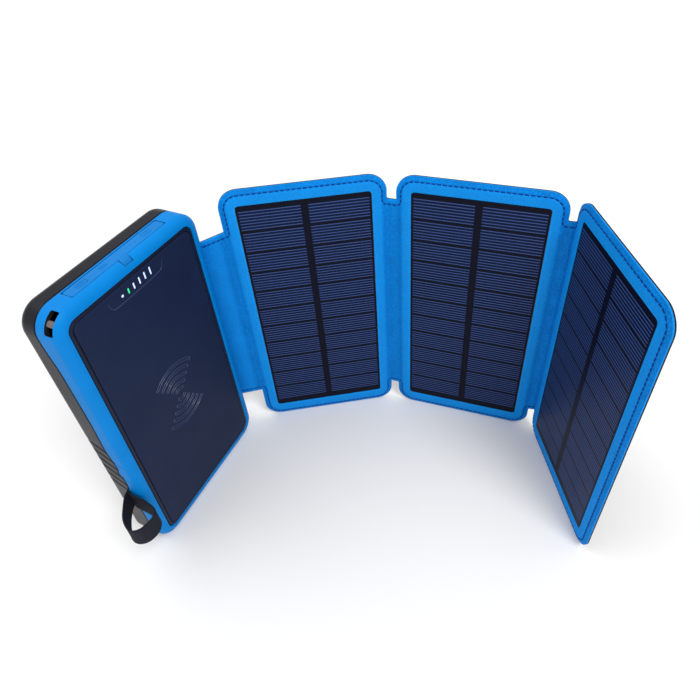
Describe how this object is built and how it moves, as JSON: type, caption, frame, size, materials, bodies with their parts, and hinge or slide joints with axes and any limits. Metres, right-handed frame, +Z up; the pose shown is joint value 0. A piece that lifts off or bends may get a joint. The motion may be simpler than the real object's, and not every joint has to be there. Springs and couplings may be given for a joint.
{
  "type": "folding solar power bank",
  "caption": "Upright wireless power bank with a stitched leather flap carrying a folding chain of solar panels, a wrist ribbon loop and a covered port bay.",
  "frame": {"origin": "centre of the power bank's flat lower face", "axes": "+X to the bank's right, where the panel chain leaves it; +Y from its charging face to its rear; +Z up"},
  "size_m": [0.1618, 0.2178, 0.1578],
  "materials": {
    "black_shell": "satin",
    "blue_shell": "satin",
    "blue_rubber": "matte",
    "navy_plate": "fine matte texture",
    "dark_trim": "satin",
    "lamp_plastic": "clear, lit",
    "blue_leather": "fine grain, stitched",
    "black_leather": "fine grain",
    "fibre_board": "raw",
    "solar_laminate": "satin resin over cells",
    "green_board": "solder mask",
    "bright_steel": "plated",
    "dark_steel": "black oxide",
    "copper": "enamelled copper wire",
    "ferrite": "matte",
    "cell_foil": "satin pouch foil",
    "black_rubber": "matte",
    "black_ribbon": "woven ribbon",
    "flat_cable": "plain"
  },
  "bodies": {
    "bank": {"front_frame": "blue_shell", "rear_shell": "black_shell", "case_gasket": "black_rubber", "lanyard_pin": "bright_steel", "loop_tail": "black_ribbon", "flap_tab": "black_leather", "tab_clamp_strip": "bright_steel", "plate_trim": "dark_trim", "charging_plate": "navy_plate", "indicator_light_pipe": "lamp_plastic", "charging_coil": "copper", "ferrite_sheet": "ferrite", "battery_cell_1": "cell_foil", "battery_cell_2": "cell_foil", "main_board": "green_board", "usb_a_port_1": "bright_steel", "usb_a_port_2": "bright_steel", "usb_c_port": "bright_steel", "button_switch": "black_rubber", "case_screw_1": "dark_steel", "case_screw_2": "dark_steel", "case_screw_3": "dark_steel", "case_screw_4": "dark_steel", "tab_screw_1": "bright_steel", "tab_screw_2": "bright_steel", "tab_screw_3": "bright_steel"},
    "power_button": {"power_button": "blue_rubber"},
    "port_cover": {"port_cover": "blue_rubber"},
    "wrist_loop": {"wrist_loop": "black_ribbon"},
    "flap": {"flap_front_leather": "blue_leather", "flap_back_leather": "black_leather", "flap_flat_cable": "flat_cable"},
    "panel_1": {"panel_1_front_leather": "blue_leather", "panel_1_solar_laminate": "solar_laminate", "panel_1_board": "fibre_board", "panel_1_back_leather": "black_leather"},
    "spine_12": {"spine_12_front_leather": "blue_leather", "spine_12_back_leather": "black_leather", "spine_12_flat_cable": "flat_cable"},
    "panel_2": {"panel_2_front_leather": "blue_leather", "panel_2_solar_laminate": "solar_laminate", "panel_2_board": "fibre_board", "panel_2_back_leather": "black_leather"},
    "spine_23": {"spine_23_front_leather": "blue_leather", "spine_23_back_leather": "black_leather", "spine_23_flat_cable": "flat_cable"},
    "panel_3": {"panel_3_front_leather": "blue_leather", "panel_3_solar_laminate": "solar_laminate", "panel_3_board": "fibre_board", "panel_3_back_leather": "black_leather"}
  },
  "joints": [
    {"name": "flap_hinge", "type": "hinge", "parent": "bank", "child": "flap", "pos_m": [0.0426, 0.0056, 0.079], "axis": [0, 0, -1], "range_deg": [-65, 24.3]},
    {"name": "panel_1_hinge", "type": "hinge", "parent": "flap", "child": "panel_1", "pos_m": [0.05145, -0.014, 0.079], "axis": [0, 0, -1], "range_deg": [-10, 98.6]},
    {"name": "spine_12_hinge", "type": "hinge", "parent": "panel_1", "child": "spine_12", "pos_m": [0.0942, -0.08007, 0.079], "axis": [0, 0, 1], "range_deg": [-30, 116.4]},
    {"name": "panel_2_hinge", "type": "hinge", "parent": "spine_12", "child": "panel_2", "pos_m": [0.09474, -0.08484, 0.079], "axis": [0, 0, 1], "range_deg": [-23, 90]},
    {"name": "spine_23_hinge", "type": "hinge", "parent": "panel_2", "child": "spine_23", "pos_m": [0.10365, -0.16304, 0.079], "axis": [0, 0, -1], "range_deg": [0, 90]},
    {"name": "panel_3_hinge", "type": "hinge", "parent": "spine_23", "child": "panel_3", "pos_m": [0.10408, -0.16681, 0.079], "axis": [0, 0, -1], "range_deg": [-65.7, 24.3]},
    {"name": "port_cover_hinge", "type": "hinge", "parent": "bank", "child": "port_cover", "pos_m": [0, -0.0004, 0.155], "axis": [-1, 0, 0], "range_deg": [0, 110]},
    {"name": "power_button_press", "type": "slide", "parent": "bank", "child": "power_button", "axis": [0, 0, -1], "range_m": [0, 0.0005]},
    {"name": "wrist_loop_hinge", "type": "hinge", "parent": "bank", "child": "wrist_loop", "pos_m": [-0.042, -0.0014, 0.039], "axis": [0, 0, -1], "range_deg": [0, 88]}
  ]
}
